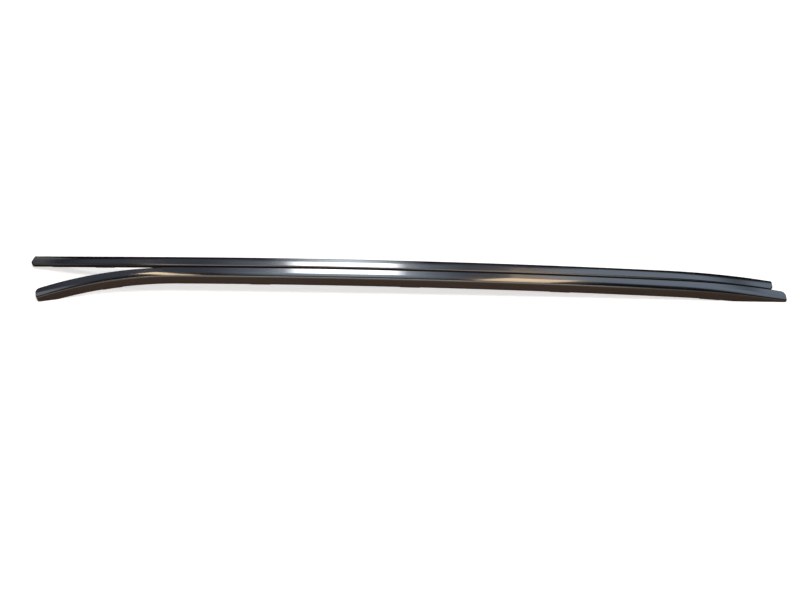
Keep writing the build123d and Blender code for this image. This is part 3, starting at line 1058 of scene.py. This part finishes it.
def pad_shell(curve, section, fixing, distance):
    """A sealing pad with round ends, a plain bolt hole and soft edges."""
    radius = section.foot_width / 2 - fixing.pad_inset
    run = fixing.pad_length / 2 - radius
    turn = np.linspace(-pi / 2, pi / 2, PAD_END_POINTS)
    round_end = np.stack([np.cos(turn), np.sin(turn)], axis=1)
    straight = np.linspace(run, -run, PAD_SIDE_POINTS + 2)[1:-1]
    side = np.stack([straight, 0 * straight + radius], axis=1)
    side_normal = np.broadcast_to([0.0, 1.0], side.shape)
    outline = np.vstack([round_end * radius + [run, 0], side, -round_end * radius - [run, 0], -side])
    normal = np.vstack([round_end, side_normal, -round_end, -side_normal])
    high = Levels(section).foot_bottom - fixing.pad_glue
    low = high - fixing.pad_thickness
    edge = fixing.pad_round
    hole = fixing.pad_hole, np.linspace(high - edge, low + edge, PAD_RINGS), lambda height, turn: 0 * turn
    return pierced_plate(curve, section, distance, outline, normal, low, high, edge, hole)


def fixing_distances(curve, fixing):
    """Distances of the fixings from the front tip."""
    return np.linspace(fixing.margin, curve.rail_length - fixing.margin, fixing.count)


class RailProfiles(bpy.types.Operator):
    """Build the two extruded profiles"""
    bl_idname = "roof_rail.profiles"
    bl_label = "Profiles"

    def execute(self, context):
        curve, section, cap, _ = shaped(context.scene)
        shell = profile_shell(curve, section, cap)
        roof = Levels(section).slot_roof
        low, high = roof - section.web, roof + 2 * section.web
        places = [screw_distance(curve, cap, end) for end in ENDS]
        pins = [pin_shell(curve, section, spot, cap.screw_hole, low, high) for spot in places]
        tools = [(pin, "DIFFERENCE") for pin in pins]
        shell.pieces("profile", "rail_profile", "rail_black", grounded=True, tools=tools)
        return {"FINISHED"}


class RailSeals(bpy.types.Operator):
    """Build the rubber seal strips under the outer lips"""
    bl_idname = "roof_rail.seals"
    bl_label = "Seal strips"

    def execute(self, context):
        curve, section, cap, _ = shaped(context.scene)
        shell = seal_shell(curve, section, cap)
        shell.pieces("seal", "seal_strip", "seal_rubber", grounded=True)
        return {"FINISHED"}


class RailCaps(bpy.types.Operator):
    """Build the moulded end caps"""
    bl_idname = "roof_rail.caps"
    bl_label = "End caps"

    def execute(self, context):
        curve, section, cap, _ = shaped(context.scene)
        roof = Levels(section).slot_roof
        top = roof + section.web + cap.screw_length
        for end in ENDS:
            shell = cap_shell(curve, section, cap, end)
            pin = pin_shell(curve, section, screw_distance(curve, cap, end), cap.screw_bore, roof, top)
            tools = [(tip_block(curve, section, cap, end), "INTERSECT"), (pin, "DIFFERENCE")]
            shell.pieces(f"{end}_end", f"{end}_cap", "cap_black", grounded=True, tools=tools)
        return {"FINISHED"}


class RailScrews(bpy.types.Operator):
    """Build the screws that hold the caps"""
    bl_idname = "roof_rail.screws"
    bl_label = "Cap screws"

    def execute(self, context):
        curve, section, cap, _ = shaped(context.scene)
        for end in ENDS:
            shell = screw_shell(curve, section, cap, end)
            shell.pieces(f"{end}_screw", f"{end}_cap_screw", "plated_steel")
        return {"FINISHED"}


class RailNuts(bpy.types.Operator):
    """Build the threaded nut plates in the fixing slots"""
    bl_idname = "roof_rail.nuts"
    bl_label = "Nut plates"

    def execute(self, context):
        curve, section, _, fixing = shaped(context.scene)
        for index, distance in enumerate(fixing_distances(curve, fixing), 1):
            shell = nut_shell(curve, section, fixing, distance)
            shell.pieces(f"nut_{index}", f"nut_plate_{index}", "plated_steel")
        return {"FINISHED"}


class RailPads(bpy.types.Operator):
    """Build the foam sealing pads under the feet"""
    bl_idname = "roof_rail.pads"
    bl_label = "Sealing pads"

    def execute(self, context):
        curve, section, _, fixing = shaped(context.scene)
        for index, distance in enumerate(fixing_distances(curve, fixing), 1):
            shell = pad_shell(curve, section, fixing, distance)
            for pad in shell.pieces(f"pad_{index}", f"sealing_pad_{index}", "pad_foam"):
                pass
        return {"FINISHED"}


# Studio

def aimed(name, data, centre, target):
    """A light or camera at a centre, facing a target."""
    made = bpy.data.objects.new(name, data)
    made.location = centre
    made.rotation_mode = "QUATERNION"
    made.rotation_quaternion = (Vector(target) - Vector(centre)).to_track_quat("-Z", "Y")
    bpy.context.scene.collection.objects.link(made)
    return made


def softbox(name, centre, size, radiance, tint, fade):
    """A rectangular light of a given brightness. Its power is pi times area times radiance.

    fade is the share of its width and of its height over which it dims towards its edges.
    """
    light = bpy.data.lights.new(name, "AREA")
    light.shape = "RECTANGLE"
    light.size, light.size_y = size
    light.energy = pi * size[0] * size[1] * radiance
    light.color = tint
    light.use_nodes = True
    nodes = Nodes(light.node_tree)
    spot = nodes.node("ShaderNodeSeparateXYZ", {0: nodes.node("ShaderNodeNewGeometry").outputs["Parametric"]})
    falls = []
    for axis, part in zip("XY", fade):
        off = nodes.maths("ABSOLUTE", nodes.maths("SUBTRACT", spot.outputs[axis], 0.5))
        falls.append(nodes.ranged(off, 1, 0, start=0.5 - part / 2, stop=0.5, kind="SMOOTHSTEP"))
    glow = nodes.maths("MULTIPLY", *falls)
    light.node_tree.links.new(glow, light.node_tree.nodes["Emission"].inputs["Strength"])
    aimed(name, light, centre, LIGHT_TARGET)


def floor_material(studio):
    """White floor for the camera, with the object's shadow.

    Reflections see it warm in front and dark behind.
    """
    material = bpy.data.materials.new("studio_floor")
    material.use_nodes = True
    nodes = Nodes(material.node_tree)
    nodes.tree.nodes.clear()
    ray = nodes.node("ShaderNodeLightPath")
    plain = nodes.node("ShaderNodeBsdfDiffuse", {"Color": (*studio.floor, 1)}).outputs[0]
    place_on = nodes.node("ShaderNodeTexCoord").outputs["Object"]
    away = nodes.node("ShaderNodeVectorMath", {0: place_on}, operation="LENGTH").outputs["Value"]
    strength = nodes.ranged(away, studio.floor_lift, 1, start=1.2, stop=4, kind="SMOOTHSTEP")
    lift = nodes.node("ShaderNodeEmission", {"Color": (*WHITE, 1), "Strength": strength}).outputs[0]
    bright = nodes.node("ShaderNodeAddShader", {0: plain, 1: lift}).outputs[0]
    spot = nodes.node("ShaderNodeSeparateXYZ", {0: place_on})
    behind = nodes.ranged(spot.outputs["Y"], 0, 1, start=-0.05, stop=0.05)
    mirrored = nodes.mixed(behind, studio.floor_warm, studio.floor_dark)
    seen = nodes.node("ShaderNodeBsdfDiffuse", {"Color": mirrored}).outputs[0]
    direct = nodes.blended(ray.outputs["Is Camera Ray"], plain, bright)
    shown = nodes.blended(ray.outputs["Is Glossy Ray"], direct, seen)
    nodes.node("ShaderNodeOutputMaterial", {"Surface": shown})
    return material


def studio_world(studio):
    """White for the camera.

    Elsewhere it is dark, with a cool band half way up and a warm glow in front and at the ends.
    """
    world = bpy.data.worlds.new("studio")
    world.use_nodes = True
    nodes = Nodes(world.node_tree)
    way = nodes.node("ShaderNodeSeparateXYZ", {0: nodes.node("ShaderNodeTexCoord").outputs["Generated"]})

    def smooth(axis, low, high, start, stop):
        return nodes.ranged(way.outputs[axis], low, high, start, stop, "SMOOTHSTEP")

    in_band = nodes.maths("MULTIPLY", smooth("Z", 0, 1, 0.47, 0.58), smooth("Z", 1, 0, 0.69, 0.77))
    in_glow = nodes.maths("MULTIPLY", smooth("Y", 1, 0, -0.2, 0.3), smooth("Z", 1, 0, 0.15, 0.85))
    around = nodes.mixed(in_band, studio.sky_dark, studio.sky)
    around = nodes.mixed(in_glow, around, studio.sky_warm)
    shown = nodes.mixed(nodes.node("ShaderNodeLightPath").outputs["Is Camera Ray"], around, WHITE)
    world.node_tree.links.new(shown, world.node_tree.nodes["Background"].inputs["Color"])
    return world


class RailStage(bpy.types.Operator):
    """Build the floor, the lights and the camera"""
    bl_idname = "roof_rail.stage"
    bl_label = "Studio"

    def execute(self, context):
        scene = context.scene
        studio = scene.rail_studio
        mesh = bpy.data.meshes.new("floor")
        square = [(-1, -1), (1, -1), (1, 1), (-1, 1)]
        corners = [(x * FLOOR_REACH, y * FLOOR_REACH, -FLOOR_DROP) for x, y in square]
        mesh.from_pydata(corners, [], [(0, 1, 2, 3)])
        mesh.materials.append(floor_material(studio))
        floor = bpy.data.objects.new("floor", mesh)
        scene.collection.objects.link(floor)
        scene.world = studio_world(studio)
        for box in SOFTBOXES:
            softbox(*box)
        camera = bpy.data.cameras.new("camera")
        camera.sensor_width = SENSOR_WIDTH
        camera.lens = studio.lens
        camera.clip_end = CLIP_END
        scene.camera = aimed("camera", camera, studio.camera, studio.target)
        scene.view_settings.view_transform = "Standard"
        return {"FINISHED"}


class RailPanel(bpy.types.Panel):
    """Sizes, finishes and building steps of the rails"""
    bl_idname = "VIEW3D_PT_roof_rails"
    bl_label = "Roof Rails"
    bl_space_type = "VIEW_3D"
    bl_region_type = "UI"
    bl_category = "Roof Rails"

    def draw(self, context):
        for name, group in GROUPS.items():
            box = self.layout.box()
            box.label(text=group.__name__)
            for key in group.__annotations__:
                box.prop(getattr(context.scene, name), key)
        for operator in OPERATORS:
            self.layout.operator(operator.bl_idname)


GROUPS = {
    "rail_curve": RailCurve,
    "rail_section": RailSection,
    "rail_cap": RailCap,
    "rail_fixing": RailFixing,
    "rail_finish": RailFinish,
    "rail_studio": RailStudio,
}
OPERATORS = (RailProfiles, RailSeals, RailCaps, RailScrews, RailNuts, RailPads, RailStage)


def register():
    """Adds the classes, and a group of each kind to the scene."""
    for item in (*GROUPS.values(), *OPERATORS, RailPanel):
        bpy.utils.register_class(item)
    for name, group in GROUPS.items():
        setattr(bpy.types.Scene, name, PointerProperty(type=group))


def unregister():
    """Takes the groups and the classes away again."""
    for name in GROUPS:
        delattr(bpy.types.Scene, name)
    for item in reversed((*GROUPS.values(), *OPERATORS, RailPanel)):
        bpy.utils.unregister_class(item)


def main():
    """Builds everything."""
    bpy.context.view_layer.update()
    register()
    bpy.ops.roof_rail.profiles()
    bpy.ops.roof_rail.seals()
    bpy.ops.roof_rail.caps()
    bpy.ops.roof_rail.screws()
    bpy.ops.roof_rail.nuts()
    bpy.ops.roof_rail.pads()
    bpy.ops.roof_rail.stage()


if __name__ == "__main__":
    main()
